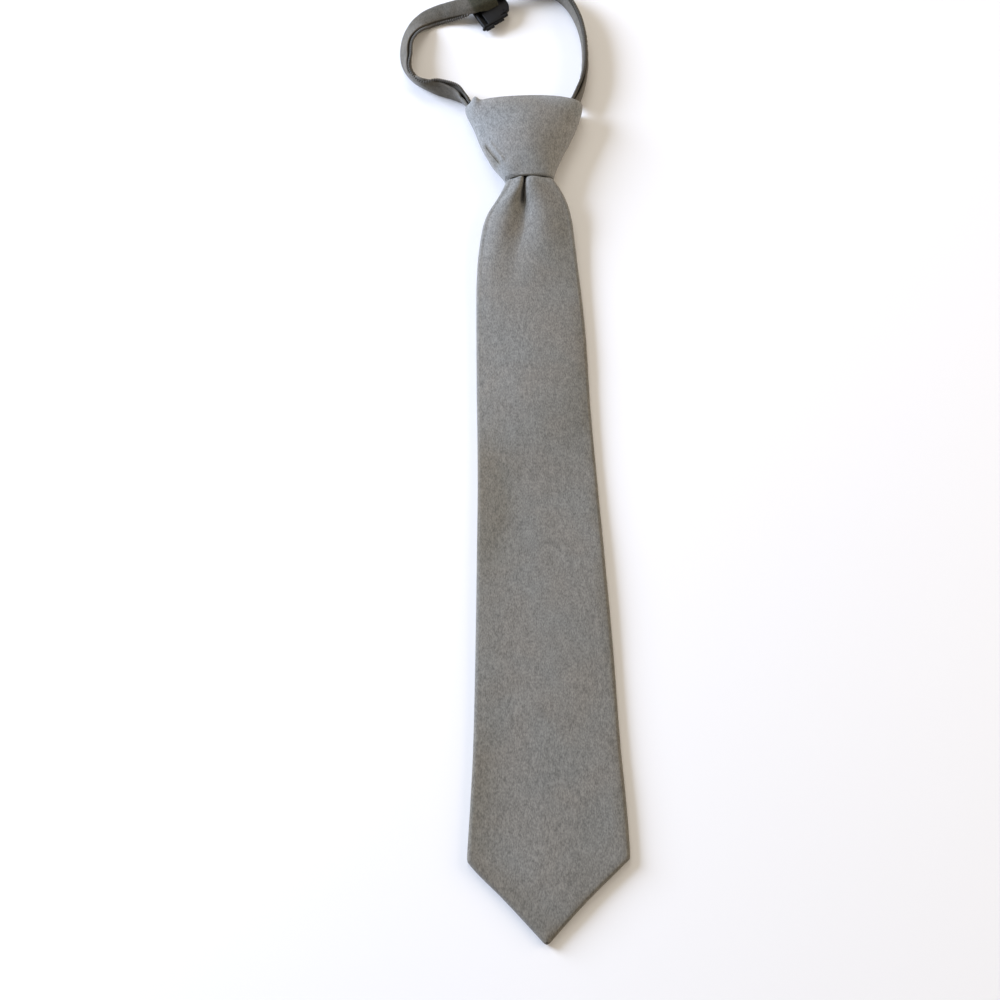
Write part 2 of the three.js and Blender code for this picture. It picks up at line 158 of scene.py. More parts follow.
def mixed_colour(tree, factor, first, second, blend="MIX"):
    """A mix of two colours or colour sockets by the factor."""
    mix_node = add_node(tree, "ShaderNodeMix", {"data_type": "RGBA", "blend_type": blend}, {"Factor": factor})
    # The colour sockets share their names with the number sockets, so they are found by type.
    for socket, value in zip([s for s in mix_node.inputs if s.type == "RGBA"], (first, second)):
        if isinstance(value, bpy.types.NodeSocket):
            tree.links.new(value, socket)
        else:
            socket.default_value = value
    return next(s for s in mix_node.outputs if s.type == "RGBA")


def shades(tree, factor, low, high, tint):
    """A mix from the tint times low to the tint times high, by the factor."""
    dark, light = [(*[min(1, c * k) for c in tint[:3]], 1) for k in (low, high)]
    return mixed_colour(tree, factor, dark, light)


def brushed_cloth(name, tint, grain_mm, other):
    """Brushed polyester suiting: a short matt nap over a fine weave. The eye gets a soft, speckled grey with
    no gloss, a faint lengthwise grain, and broad warm and cool patches where the nap lies another way. The
    attribute "tone" says how far a place is multiplied by the other colour."""
    material, tree, shader = new_material(
        name,
        {"Roughness": 0.92, "Specular IOR Level": 0.25, "Sheen Weight": 0.18, "Sheen Roughness": 0.5},
    )
    if tree is None:
        return material
    place = add_node(tree, "ShaderNodeTexCoord").outputs["Object"]
    # The real yarns, about 0.25 mm apart, are too fine to show, so the grain is drawn at grain_mm.
    along = add_node(tree, "ShaderNodeMapping", None, {"Vector": place, "Scale": (1.1, 0.5, 1)}).outputs[0]
    grain = add_node(
        tree, "ShaderNodeTexNoise", None,
        {"Vector": along, "Scale": 1 / (grain_mm * MM), "Detail": 1.0, "Roughness": 0.6},
    ).outputs[0]
    # Flecks a few grains wide, where several yarns lie close.
    flecks = add_node(
        tree, "ShaderNodeTexNoise", None,
        {"Vector": along, "Scale": 1 / (3.2 * grain_mm * MM), "Detail": 1.0, "Roughness": 0.5},
    ).outputs[0]
    # Patches where the nap lies another way, about 20 mm across.
    patches = add_node(
        tree, "ShaderNodeTexNoise", None,
        {"Vector": place, "Scale": 1 / (24 * MM), "Detail": 1.0, "Roughness": 0.5, "Distortion": 0.5},
    ).outputs[0]
    mottle = {"Factor": 0.3, "A": grain, "B": flecks}
    speckle = add_node(tree, "ShaderNodeMix", None, mottle).outputs["Result"]
    sharp = add_node(
        tree, "ShaderNodeMapRange", None, {"Value": speckle, "From Min": 0.33, "From Max": 0.67}
    ).outputs[0]
    base = shades(tree, sharp, 0.68, 1.32, tint)
    warm = add_node(
        tree, "ShaderNodeMapRange", None, {"Value": patches, "From Min": 0.35, "From Max": 0.65}
    ).outputs[0]
    drift = mixed_colour(tree, warm, (1.0, 0.975, 0.95, 1), (0.96, 0.975, 0.98, 1))
    even = mixed_colour(tree, 1.0, base, drift, "MULTIPLY")
    # The tone attribute multiplies in the other colour. On the knot this is partly painted shade, in the
    # tuck's crease and on its facet.
    tone = add_node(tree, "ShaderNodeAttribute", {"attribute_name": "tone"}).outputs["Fac"]
    whole = mixed_colour(tree, tone, even, (*other, 1), "MULTIPLY")
    tree.links.new(whole, shader.inputs["Base Color"])
    fuzz = add_node(tree, "ShaderNodeBump", None, {"Height": grain, "Strength": 0.3, "Distance": 0.2 * MM})
    tree.links.new(fuzz.outputs[0], shader.inputs["Normal"])
    return material


def woven_tape(name, tint):
    """Woven polyester zipper tape: matt, with fine ribs across it every 0.9 mm."""
    material, tree, shader = new_material(name, {"Roughness": 0.8, "Specular IOR Level": 0.3})
    if tree is None:
        return material
    run = add_node(tree, "ShaderNodeUVMap", {"uv_map": "UVMap"}).outputs[0]
    ribs = add_node(
        tree, "ShaderNodeTexWave", {"bands_direction": "Y"},
        {"Vector": run, "Scale": 2 * math.pi / 20 / (0.9 * MM), "Distortion": 0.4, "Detail": 1.0},
    ).outputs["Fac"]
    tree.links.new(shades(tree, ribs, 0.82, 1.1, tint), shader.inputs["Base Color"])
    bump = add_node(tree, "ShaderNodeBump", None, {"Height": ribs, "Strength": 0.5, "Distance": 0.15 * MM})
    tree.links.new(bump.outputs[0], shader.inputs["Normal"])
    return material


def smooth_stuff(name, tint, shader, speck_mm, depth, spread=0.1):
    """A moulded, drawn or cast material: one colour with a slight unevenness of the given size."""
    material, tree, principled = new_material(name, shader)
    if tree is None:
        return material
    place = add_node(tree, "ShaderNodeTexCoord").outputs["Object"]
    specks = add_node(
        tree, "ShaderNodeTexNoise", None, {"Vector": place, "Scale": 0.5 / (speck_mm * MM), "Detail": 2.0}
    ).outputs[0]
    tree.links.new(shades(tree, specks, 1 - spread, 1 + spread, tint), principled.inputs["Base Color"])
    bump = add_node(
        tree, "ShaderNodeBump", None, {"Height": specks, "Strength": depth, "Distance": speck_mm * 0.1 * MM}
    )
    tree.links.new(bump.outputs[0], principled.inputs["Normal"])
    return material


def tie_material(which):
    """One of the tie's materials, by its short name."""
    tint = bpy.context.scene.tie_colours
    if which == "cloth":
        return brushed_cloth("brushed_polyester_cloth", tint.cloth, 0.6, tint.cloth_darkening)
    if which == "band":
        return brushed_cloth("brushed_polyester_sleeve", tint.band, 0.5, tint.end)
    if which == "tape":
        return woven_tape("woven_polyester_tape", tint.tape)
    if which == "coil":
        # Extruded nylon: a soft gloss on each turn.
        return smooth_stuff("extruded_nylon_coil", tint.coil, {"Roughness": 0.5, "IOR": 1.53}, 0.6, 0.2)
    if which == "thread":
        # Spun polyester thread: dull.
        return smooth_stuff("spun_polyester_thread", tint.thread, {"Roughness": 0.85}, 0.4, 0.4)
    if which == "plastic":
        # Moulded acetal: black, with a slight gloss and a fine moulded grain.
        return smooth_stuff(
            "moulded_black_acetal", tint.plastic, {"Roughness": 0.55, "Specular IOR Level": 0.2}, 0.5, 0.15
        )
    # Die-cast zinc: grey metal with a soft, slightly pitted surface.
    return smooth_stuff("die_cast_zinc", tint.zinc, {"Roughness": 0.38, "Metallic": 1.0}, 0.8, 0.2)


# Tables and curves


def table(columns, rows):
    """A table as one dictionary for each row of numbers."""
    names = columns.split()
    return [dict(zip(names, row)) for row in rows]


def row_at(rows, at):
    """The row of a table at a share, on curves through its rows that never overshoot them."""
    i = max(1, next((k for k, row in enumerate(rows) if row["at"] >= at), len(rows) - 1))
    a, b = rows[i - 1], rows[i]
    before, after = rows[max(0, i - 2)], rows[min(len(rows) - 1, i + 1)]
    span = b["at"] - a["at"]
    t = (at - a["at"]) / span

    def slope(p, q):
        return (q[name] - p[name]) / (q["at"] - p["at"]) if q is not p else None

    def gentle(s, r):
        return s if r is None else r if s is None else 0 if s * r <= 0 else 2 * s * r / (s + r)

    found = {}
    for name in a:
        here = slope(a, b)
        first, last = gentle(slope(before, a), here) * span, gentle(here, slope(b, after)) * span
        found[name] = (
            a[name] * (2 * t**3 - 3 * t**2 + 1)
            + first * (t**3 - 2 * t**2 + t)
            + b[name] * (3 * t**2 - 2 * t**3)
            + last * (t**3 - t**2)
        )
    return found


def curve_at(points, t):
    """The place at t, from 0 to 1, on a centripetal curve through points of any number of values."""
    last = len(points) - 1
    i = min(int(t * last), last - 1)
    w = t * last - i
    p1, p2 = points[i], points[i + 1]
    p0 = points[i - 1] if i else [2 * a - b for a, b in zip(p1, p2)]
    p3 = points[i + 2] if i + 2 <= last else [2 * b - a for a, b in zip(p1, p2)]
    d0, d1, d2 = [sum((a - b) ** 2 for a, b in zip(p, q)) ** 0.25 for p, q in ((p0, p1), (p1, p2), (p2, p3))]
    d1 = d1 if d1 > 1e-4 else 1.0
    d0 = d0 if d0 > 1e-4 else d1
    d2 = d2 if d2 > 1e-4 else d1
    found = []
    for a, b, c, d in zip(p0, p1, p2, p3):
        first = ((b - a) / d0 - (c - a) / (d0 + d1) + (c - b) / d1) * d1
        second = ((c - b) / d1 - (d - b) / (d1 + d2) + (d - c) / d2) * d1
        found.append(
            b + first * w + (3 * (c - b) - 2 * first - second) * w**2 + (2 * (b - c) + first + second) * w**3
        )
    return found


def mix(a, b, t):
    """The value at the share t of the way from a to b."""
    return a + (b - a) * t


def ease(low, high, value):
    """0 below low, 1 above high and a smooth rise between them."""
    t = min(1, max(0, (value - low) / (high - low)))
    return t * t * (3 - 2 * t)


def hill(off, width):
    """1 in the middle, and falling smoothly to 0 on both sides."""
    return math.exp(-((off / width) ** 2))


# Pieces


def shift():
    """From the tie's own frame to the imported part's."""
    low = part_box("blade")[0]
    half = bpy.context.scene.tie_sizes.blade_width / 2
    return Vector((low.x + 0.954 * half, low.y, 0))


def cover(bm, rings):
    """A skin over rings of places, made as a grid whose corners are moved onto them. A ring that ends where
    it starts is closed by the weld that dress() makes."""
    across, along = len(rings[0]) - 1, len(rings) - 1
    bm.loops.layers.uv.verify()
    made = bmesh.ops.create_grid(bm, x_segments=across, y_segments=along, size=1.0, calc_uvs=True)
    for vert in made["verts"]:
        vert.co = rings[round((vert.co.y + 1) / 2 * along)][round((vert.co.x + 1) / 2 * across)]
    run = sum((a[0] - b[0]).length for a, b in zip(rings, rings[1:]))
    layer = bm.loops.layers.uv.verify()
    girth = sum((a - b).length for a, b in zip(rings[0], rings[0][1:]))
    faces = {face for vert in made["verts"] for face in vert.link_faces}
    for face in faces:
        for loop in face.loops:
            loop[layer].uv = (loop[layer].uv.x * girth, loop[layer].uv.y * run)


def dress(name, bm, which, nodes, levels=1, closed=True, tone=None):
    """Turns a bmesh in the tie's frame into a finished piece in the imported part's frame. The tone of its
    cloth is a function of the place in the tie's frame."""
    bmesh.ops.remove_doubles(bm, verts=bm.verts, dist=1e-6)
    if closed:
        bmesh.ops.holes_fill(bm, edges=[e for e in bm.edges if e.is_boundary], sides=0)
    bmesh.ops.recalc_face_normals(bm, faces=bm.faces)
    if tone:
        layer = bm.verts.layers.float.new("tone")
        for vert in bm.verts:
            vert[layer] = tone(vert.co)
    bmesh.ops.translate(bm, verts=bm.verts, vec=shift())
    mesh = bpy.data.meshes.new(name)
    bm.to_mesh(mesh)
    bm.free()
    mesh.shade_smooth()
    piece = bpy.data.objects.new(name, mesh)
    bpy.context.scene.collection.objects.link(piece)
    mesh.materials.append(tie_material(which))
    if levels:
        finish = piece.modifiers.new("Smooth", "SUBSURF")
        finish.levels = finish.render_levels = levels
    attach(piece, "root")
    if nodes:
        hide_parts(*nodes)
    return piece


def stitch(bm, middle, run, size, thick):
    """One stitch: a short bead that lies along its run."""
    turn = run.to_track_quat("X", "Z").to_matrix().to_4x4()
    shape = Matrix.Diagonal((size / 2, thick, thick, 1))
    bmesh.ops.create_uvsphere(
        bm, u_segments=6, v_segments=6, radius=1, matrix=Matrix.Translation(middle) @ turn @ shape
    )


# The knot. A row gives a share of its length, its half widths as shares of half the knot's width, its
# thickness as a share of the knot's, the height of its side folds as a share of the thickness there, how far
# its edge bows down at the sides, as a share of its length, and how square its front is.
KNOT = table("at left right thick side bow front", [
    (0.0, 0.34, 0.43, 0.79, 0.68, 0, 2.2),
    (0.12, 0.46, 0.465, 0.84, 0.64, 0, 2),
    (0.26, 0.61, 0.54, 0.9, 0.58, 0, 1.8),
    (0.41, 0.72, 0.645, 0.96, 0.52, 0, 1.7),
    (0.54, 0.805, 0.745, 0.99, 0.48, 0, 1.7),
    (0.78, 0.93, 0.885, 1, 0.46, 0.004, 1.9),
    (0.93, 1.02, 0.955, 0.95, 0.46, 0.012, 2.3),
    (1.0, 1.055, 0.975, 0.89, 0.46, 0.018, 2.4),
])  # fmt: skip
BACK = 5  # how square the back of a knot section is
AROUND = 320  # steps round the knot

# The tuck in the knot's left side, from its upper to its lower end: X and Y in millimetres from the tip.
TUCK = (
    (-22.4, 404.0), (-21.2, 401.2), (-19.9, 398.6), (-18.5, 396.1),
    (-17.0, 393.6), (-15.6, 391.3), (-14.3, 389.0), (-13.2, 386.6),
)  # fmt: skip


def beside_tuck(place):
    """How far a place lies from the tuck as seen from above, positive on its right, and how deep the tuck is
    there, from 0 at its ends to 1."""
    best = None
    for i, (a, b) in enumerate(zip(TUCK, TUCK[1:])):
        start, run = Vector(a) * MM, (Vector(b) - Vector(a)) * MM
        t = min(1, max(0, (place.xy - start).dot(run) / run.length_squared))
        off = place.xy - start - run * t
        if best is None or off.length < abs(best[0]):
            best = (math.copysign(off.length, off.dot(Vector((0.9, 0.4)))), (i + t) / (len(TUCK) - 1))
    right, along = best
    return right, ease(0.0, 0.2, along) * ease(1.0, 0.75, along)


def tuck_depth(place):
    """How far the cloth drops at a place: into the tuck's crease, less over the small facet on its left, and
    up again on the soft ridge on its right."""
    right, full = beside_tuck(place)
    crease = 1.2 * MM * hill(right, 0.5 * MM)
    facet = 0.5 * MM * ease(0.3 * MM, -0.3 * MM, right) * ease(-4.5 * MM, -2.5 * MM, right)
    ridge = 0.7 * MM * hill(right - 1.7 * MM, 1.1 * MM)
    return full * (crease + facet - ridge)


def knot_tone(place):
    """How far the knot's cloth is drawn darker and warmer, from 0 to 1: as painted shade in the tuck's crease
    and on the small facet on its left, and a little in the middle and along the top."""
    s = bpy.context.scene.tie_sizes
    if place.z < s.knot_thickness * 0.4:
        return 0
    share = (place.y - s.blade_length) / s.knot_length
    middle = 0.34 * hill(place.x - 2 * MM, 10 * MM)
    rim = 0.3 * ease(0.7, 0.95, share) * ease(-24 * MM, -12 * MM, place.x) * ease(14 * MM, 4 * MM, place.x)
    # Painted shade: the tuck's crease and the facet on its left are darkened as if in shadow.
    right, full = beside_tuck(place)
    crease = hill(right + 0.1 * MM, 0.6 * MM)
    facet = 0.6 * ease(0.2 * MM, -0.4 * MM, right) * ease(-4 * MM, -2.4 * MM, right)
    return min(1, middle + rim + full * max(crease, facet))


def knot_ring(share, inset, past=0.0):
    """Places round the knot at a share of its length, shrunk by inset, and past the row by a length."""
    s = bpy.context.scene.tie_sizes
    row = row_at(KNOT, share)
    thick = row["thick"] * s.knot_thickness
    side = thick * row["side"]
    left, right = [row[half] * s.knot_width / 2 - inset for half in ("left", "right")]
    y = s.blade_length + share * s.knot_length + past
    ring = []
    for i in range(AROUND + 1):
        angle = 2 * math.pi * i / AROUND
        c, n = math.cos(angle), math.sin(angle)
        power = row["front"] if n > 0 else BACK
        half = left if c < 0 else right
        x = math.copysign(half * abs(c) ** (2 / power), c)
        reach = thick - side - inset if n > 0 else side - inset
        z = side + math.copysign(reach * abs(n) ** (2 / power), n)
        ring.append(Vector((x, y - row["bow"] * s.knot_length * (x / half) ** 2, z)))
    return ring


def knot_relief(place, normal):
    """How far the knot's outer cloth stands out of its plain form at a place: soft dents and pulls."""
    s = bpy.context.scene.tie_sizes
    share = (place.y - s.blade_length) / s.knot_length
    if normal.z < -0.3:
        # The wrap's end lies over its start along a slanted line on the back.
        line = place.x - mix(-3 * MM, 4 * MM, share)
        return -0.5 * MM * ease(0.4 * MM, -0.4 * MM, -line)
    relief = noise.noise(place / (14 * MM)) * 0.3 * MM
    # Shallow pulls fan out from the mouth.
    fan = math.atan2(place.x - 1 * MM, place.y - s.blade_length + 22 * MM)
    relief += math.sin(fan * 11 + 0.6) * 0.14 * MM * ease(0.0, 0.15, share) * ease(0.95, 0.3, share)
    # The lower left corner of the wrap stands out a little.
    corner = ease(0.3, 0.02, share) * ease(-3 * MM, -11 * MM, place.x) * ease(-0.5, 0, normal.z)
    return relief + 1.5 * MM * corner


def knot_cloth():
    """The wrap of the knot: its outside, its top edge, its inside and the edge at its mouth."""
    s = bpy.context.scene.tie_sizes
    lip, rim = s.knot_wall / 2, s.blade_length + s.knot_length
    steps = 110
    shares = [i / steps for i in range(steps + 1)]
    outside = [knot_ring(share, 0) for share in shares]
    rings = [
        *outside,
        knot_ring(1, lip * 0.12, lip * 0.4),
        knot_ring(1, lip * 0.4, lip * 0.8),
        knot_ring(1, lip, lip),
        knot_ring(1, lip * 1.6, lip * 0.8),
        *[knot_ring(share, s.knot_wall) for share in reversed(shares[::10])],
        knot_ring(0, lip * 1.6, -lip * 0.8),
        knot_ring(0, lip, -lip),
        knot_ring(0, lip * 0.4, -lip * 0.8),
        knot_ring(0, lip * 0.12, -lip * 0.4),
        outside[0],
    ]
    for ring in outside:
        for place in ring[:-1]:
            normal = Vector((place.x, 0, place.z - s.knot_thickness / 2)).normalized()
            place += normal * knot_relief(place, normal)
            place.z -= tuck_depth(place) * ease(-0.1, 0.1, normal.z)
        ring[-1].xyz = ring[0]
    # A small gather of cloth stands up at the top, beside the left band.
    for ring in rings[:-1]:
        for place in ring:
            bump = hill(place.x + 27.3 * MM, 2.1 * MM) * ease(rim - 7 * MM, rim - 1 * MM, place.y)
            bump *= ease(s.knot_thickness * 0.42, s.knot_thickness * 0.5, place.z)
            place.y += bump * 2.2 * MM
            place.z += bump * 1.4 * MM
    bm = bmesh.new()
    cover(bm, rings)
    piece = dress("knot_cloth", bm, "cloth", ["knot"], levels=0, closed=False, tone=knot_tone)


# The blade. A row gives a share of its length, its half widths as shares of half the blade's width, how much
# it is carried by the zipper's tail below it, the height of its edges above the floor, its padding in the
# middle and at its edges and its lobes as shares of the padding, where the valley between the lobes is as a
# share of the left half width, how round the valley is, and the depth and half width of the slit in the
# valley as shares of the padding.
BLADE = table("at left right over edge pad rim lobes valley round slit gap", [
    (0.0, 0.02, 0.02, 0, 0, 0.8, 0.75, 0, 0, 0.5, 0, 0.1),
    (0.012, 0.14, 0.14, 0, 0, 0.9, 0.85, 0, 0, 0.5, 0, 0.1),
    (0.05, 0.525, 0.55, 0, 0, 1, 0.92, 0, 0, 0.5, 0, 0.1),
    (0.0865, 0.915, 0.985, 0, 0, 1.05, 0.95, 0, 0, 0.5, 0, 0.1),
    (0.092, 0.954, 1.044, 0, 0, 1.05, 0.95, 0, 0, 0.5, 0, 0.1),
    (0.105, 0.946, 1.043, 0, 0, 1.05, 0.95, 0, 0, 0.5, 0, 0.1),
    (0.16, 0.906, 1.023, 0, 0, 1.08, 0.95, 0, 0, 0.5, 0, 0.1),
    (0.218, 0.871, 0.989, 0, 0, 1.1, 0.95, 0, 0, 0.5, 0, 0.1),
    (0.339, 0.834, 0.951, 0, 0, 1.12, 0.95, 0, 0, 0.5, 0, 0.1),
    (0.467, 0.806, 0.889, 0, 0, 1.14, 0.95, 0, 0, 0.5, 0, 0.1),
    (0.56, 0.79, 0.84, 0.15, 0, 1.16, 0.95, 0, 0, 0.5, 0, 0.1),
    (0.62, 0.789, 0.808, 0.6, 0, 1.18, 0.95, 0, 0, 0.5, 0, 0.1),
    (0.67, 0.794, 0.788, 1, 0, 1.12, 1, 0, 0, 0.5, 0, 0.1),
    (0.75, 0.794, 0.774, 1, 0.05, 1.1, 1.06, 0, -0.1, 0.5, 0, 0.1),
    (0.827, 0.789, 0.729, 1, 0.2, 1.15, 1.1, 0.06, -0.4, 0.4, 0, 0.1),
    (0.87, 0.771, 0.691, 1, 0.4, 1.27, 1.12, 0.24, -0.28, 0.5, 0, 0.1),
    (0.905, 0.731, 0.663, 1, 0.6, 1.35, 1.1, 0.5, -0.175, 0.38, 0, 0.2),
    (0.932, 0.68, 0.64, 1, 0.8, 1.36, 1.15, 0.76, -0.1, 0.22, 0, 0.4),
    (0.95, 0.61, 0.61, 1, 1, 1.38, 1.2, 0.82, -0.1, 0.15, 0.06, 0.6),
    (0.962, 0.53, 0.575, 1, 1.15, 1.4, 1.23, 0.82, -0.14, 0.1, 0.28, 0.5),
    (0.972, 0.46, 0.535, 1, 1.27, 1.4, 1.3, 0.84, -0.17, 0.06, 1, 0.28),
    (0.98, 0.41, 0.49, 1, 1.36, 1.4, 1.38, 0.86, -0.178, 0.04, 1.1, 0.2),
    (0.9885, 0.363, 0.437, 1, 1.45, 1.4, 1.5, 0.9, -0.17, 0.03, 0.8, 0.09),
    (0.997, 0.325, 0.38, 1, 1.5, 1.38, 1.5, 0.88, -0.16, 0.03, 0.6, 0.06),
    (1.003, 0.25, 0.33, 1, 1.5, 1.15, 0.9, 0.4, -0.16, 0.05, 0.6, 0.1),
    (1.03, 0.2, 0.29, 1, 1.5, 1.1, 0.8, 0.3, -0.16, 0.05, 0.3, 0.1),
])  # fmt: skip
# Across a half of the blade, from its edge inwards: the first steps are shares of the edge's round, the
# others shares of the way from there to the valley.
EDGE = [1 - math.cos(math.pi / 2 * i / 8) for i in range(9)]
ACROSS = [0.93, 0.85, 0.76, 0.67, 0.58, 0.49, 0.41, 0.33, 0.26, 0.2]
ACROSS += [0.155, 0.12, 0.092, 0.068, 0.048, 0.03, 0.014]
CLIMB = 22 * MM  # the length over which the tail climbs to the knot's mouth


def tail_base(y):
    """Height of the zipper tail's underside above the floor."""
    s = bpy.context.scene.tie_sizes
    return (s.knot_wall + CLEARANCE) * ease(s.blade_length - CLIMB, s.blade_length - s.knot_wall, y)


def blade_ring(at):
    """Places round the blade at a share of its length."""
    s = bpy.context.scene.tie_sizes
    row = row_at(BLADE, at)
    y = at * s.blade_length
    left, right = [row[half] * s.blade_width / 2 for half in ("left", "right")]
    need = tail_base(y) + s.tail_thickness + CLEARANCE
    edge = row["edge"] * s.pad
    bay = 1 - min(0.5, (s.tail_width / 2 / max(1e-6, min(left, right))) ** 2)
    under_mid = row["over"] * max(need, (need - edge * (1 - bay)) / bay)
    top_mid, top_edge = under_mid + row["pad"] * s.pad, edge + row["rim"] * s.pad
    lobes, valley, slit = row["lobes"] * s.pad, row["valley"] * left, row["slit"] * s.pad
    turn = min((top_edge - edge) / 2, left * 0.8, right * 0.8)

    def place(x, top):
        half = left if x < 0 else right
        reach = (left + valley if x < valley else right - valley) - turn
        w = min(1, abs(x - valley) / reach)
        under = mix(under_mid, edge, (x / half) ** 2)
        soft = (math.hypot(w, row["round"]) - row["round"]) / (math.hypot(1, row["round"]) - row["round"])
        steep = mix(0.95 if x < valley else 0.62, 0.5, ease(0.958, 0.988, at))
        over = mix(top_mid, top_edge, w * w) + lobes * math.sin(math.pi * soft**steep)
        over -= slit * math.exp(-abs((x - valley) / (row["gap"] * s.pad)) ** 3)
        inward = min(1, (half - abs(x)) / turn)
        swell = math.sqrt(max(0, 1 - (1 - inward) ** 2))
        middle = (under + over) / 2
        z = middle + ((over if top else under) - middle) * swell
        if top:
            # The padding isn't quite even, and the cloth lies in very shallow waves.
            calm = swell * ease(0, 0.05, at)
            z += calm * noise.noise(Vector((x / (26 * MM), y / (60 * MM), 3.1))) * 0.55 * MM
            z += calm * noise.noise(Vector((x / (9 * MM), y / (16 * MM), 7.7))) * 0.12 * MM
        else:
            # The right flap of the back lies over the left one, and both are sewn at the middle.
            flap = ease(-0.5 * MM, 0.5 * MM, x) * ease(0.03, 0.06, at)
            z += swell * (1 - flap) * 0.45 * MM * ease(right, 0, -x * 1.2)
            z += 0.6 * MM * hill(x, 0.7 * MM)
        return Vector((x, y, z))

    def half_way(sign, half):
        outer = [sign * (half - step * turn) for step in EDGE]
        inner = [valley + (sign * (half - turn) - valley) * step for step in ACROSS]
        return outer + inner

    top = [place(x, True) for x in [*half_way(-1, left), valley, *reversed(half_way(1, right))]]
    across = [0.9, 0.7, 0.5, 0.32, 0.18, 0.09, 0.04]
    under = [right - step * turn for step in EDGE[1:]] + [(right - turn) * step for step in across] + [0.0]
    under += [-(left - turn) * step for step in reversed(across)]
    under += [step * turn - left for step in reversed(EDGE[1:])]
    ring = top + [place(x, False) for x in under]
    return ring + [ring[0].copy()]


def blade_tone(place):
    """How far the blade's cloth is drawn darker and warmer, from 0 to 1: a little everywhere, more along both
    edges, and most in two patches along the left edge."""
    s = bpy.context.scene.tie_sizes
    row = row_at(BLADE, min(1, max(0, place.y / s.blade_length)))
    left = place.x + row["left"] * s.blade_width / 2
    right = row["right"] * s.blade_width / 2 - place.x
    waver = noise.noise(place / (12 * MM)) * 3 * MM
    upper = 0.65 * hill(place.y - 200 * MM, 28 * MM) * ease(26 * MM, 3 * MM, left + waver)
    lower = 0.3 * hill(place.y - 60 * MM, 34 * MM) * ease(16 * MM, 2 * MM, left + waver)
    edges = 0.16 * ease(22 * MM, 4 * MM, left) + 0.35 * ease(6 * MM, 1 * MM, right + waver)
    top = ease(0.8, 0.93, place.y / s.blade_length)
    plain = mix(0.5, 0.4, ease(0.6, 0.85, place.y / s.blade_length))
    return min(1, plain + (1 - top) * (upper + lower + edges))


def blade_cloth():
    """The padded blade, with the gathered neck that goes up into the knot."""
    s = bpy.context.scene.tie_sizes
    shares = []
    for a, b in zip(BLADE, BLADE[1:]):
        steps = max(2, math.ceil((b["at"] - a["at"]) * s.blade_length / (2.6 * MM)))
        shares += [mix(a["at"], b["at"], i / steps) for i in range(steps)]
    rings = [blade_ring(share) for share in [*shares, BLADE[-1]["at"]]]
    bm = bmesh.new()
    cover(bm, rings)
    piece = dress("blade_cloth", bm, "cloth", ["blade"], tone=blade_tone)


def blade_stitches():
    """The long slip stitches that close the back, and the short bar that locks them near the tip."""
    s = bpy.context.scene.tie_sizes
    bm = bmesh.new()
    y = 0.075 * s.blade_length
    while y < 0.66 * s.blade_length:
        stitch(bm, Vector((0.1 * MM, y, 0.35 * MM)), Vector((0.25, 1, 0)), s.stitch * 1.3, 0.22 * MM)
        y += 4.4 * MM
    for k in range(7):
        y = 0.066 * s.blade_length + k * 0.45 * MM
        stitch(bm, Vector((0.2 * MM, y, 0.32 * MM)), Vector((1, 0.05, 0)), 5 * MM, 0.26 * MM)
    dress("back_seam_stitches", bm, "thread", [], levels=0, closed=False)


# The neck bands. A row gives its place across and along the neck loop, its lean (0 flat with the coil
# inwards, 90 on edge with the coil up), the height of its lowest point above the floor in millimetres, and
# how far the sleeve's outer wall gapes there, in millimetres, and how much it folds over the coil.
LEFT = table("across along lean lift gape cover", [
    (-0.286, 0.021, 93, 0.35, 0.7, 0),
    (-0.312, 0.101, 97, 0, 1.5, 0),
    (-0.375, 0.163, 77, 0, 1.3, 0),
    (-0.453, 0.199, 80, 0, 0.5, 0.2),
    (-0.535, 0.236, 114, 0, 0, 1),
    (-0.596, 0.311, 98, 0, 0.5, 0),
    (-0.626, 0.436, 59, 0, 0.8, 0),
    (-0.627, 0.564, 50, 0, 0.7, 0),
    (-0.595, 0.689, 27, 0, 0.4, 0),
    (-0.539, 0.782, -2, 0, 0.2, 0),
    (-0.455, 0.823, -18, 0.3, 0, 0),
    (-0.368, 0.834, -26, 1.8, 0, 0),
])  # fmt: skip
RIGHT = table("across along lean lift gape cover", [
    (0.253, 0.02, 62, 0.35, 0.3, 0),
    (0.268, 0.1, 84, 0, 0.8, 0),
    (0.292, 0.19, 88, 0, 0.7, 0),
    (0.31, 0.3, 90, 0, 0.3, 0),
    (0.317, 0.44, 90, 0, 0, 0),
    (0.312, 0.58, 90, 0, 0, 0),
    (0.288, 0.72, 90, 0, 0.3, 0),
    (0.238, 0.86, 90, 0, 0.5, 0),
    (0.168, 0.955, 88, 0, 0.3, 0),
    (0.085, 1.005, 80, 0, 0, 0),
    (0.005, 1, 50, 1, 0, 0),
])  # fmt: skip
# Where the bands end on the clip: their lean, their squeeze, and places as shares of the clip's length and
# width, with how far the sleeve folds over the coil there.
LEFT_END = (-20, 0.94, [(0.12, 0.32, 0.5), (0.42, 0.3, 1), (0.74, 0.29, 1)])
RIGHT_END = (0, 0.8, [(1.1, 0.36, 0), (0.8, 0.33, 0)])
# Inside the knot the bands lie flat at the slider, with their width squeezed, and turn up on their way to the
# rim as if to this lean. At the rim they are squeezed less, and stand a little above the knot's back wall.
RIM_LEAN, INSIDE_SQUEEZE = 62, 0.72
RIM_SQUEEZE, RIM_RISE = 0.76, 0.9 * MM
SLIDER_AT = 0.3  # the slider's lower end, as a share of the knot's length
SLIDER_LENGTH = 11 * MM
# The clip. Its place gives shares of the loop's width and depth, with its turn and tilt in degrees.
CLIP_LENGTH, CLIP_WIDTH, CLIP_THICKNESS = 19.5 * MM, 19 * MM, 2.6 * MM
CLIP_ACROSS, CLIP_ALONG, CLIP_LIFT, CLIP_TURN, CLIP_TILT = -0.255, 0.772, 2.2 * MM, 29.5, -6


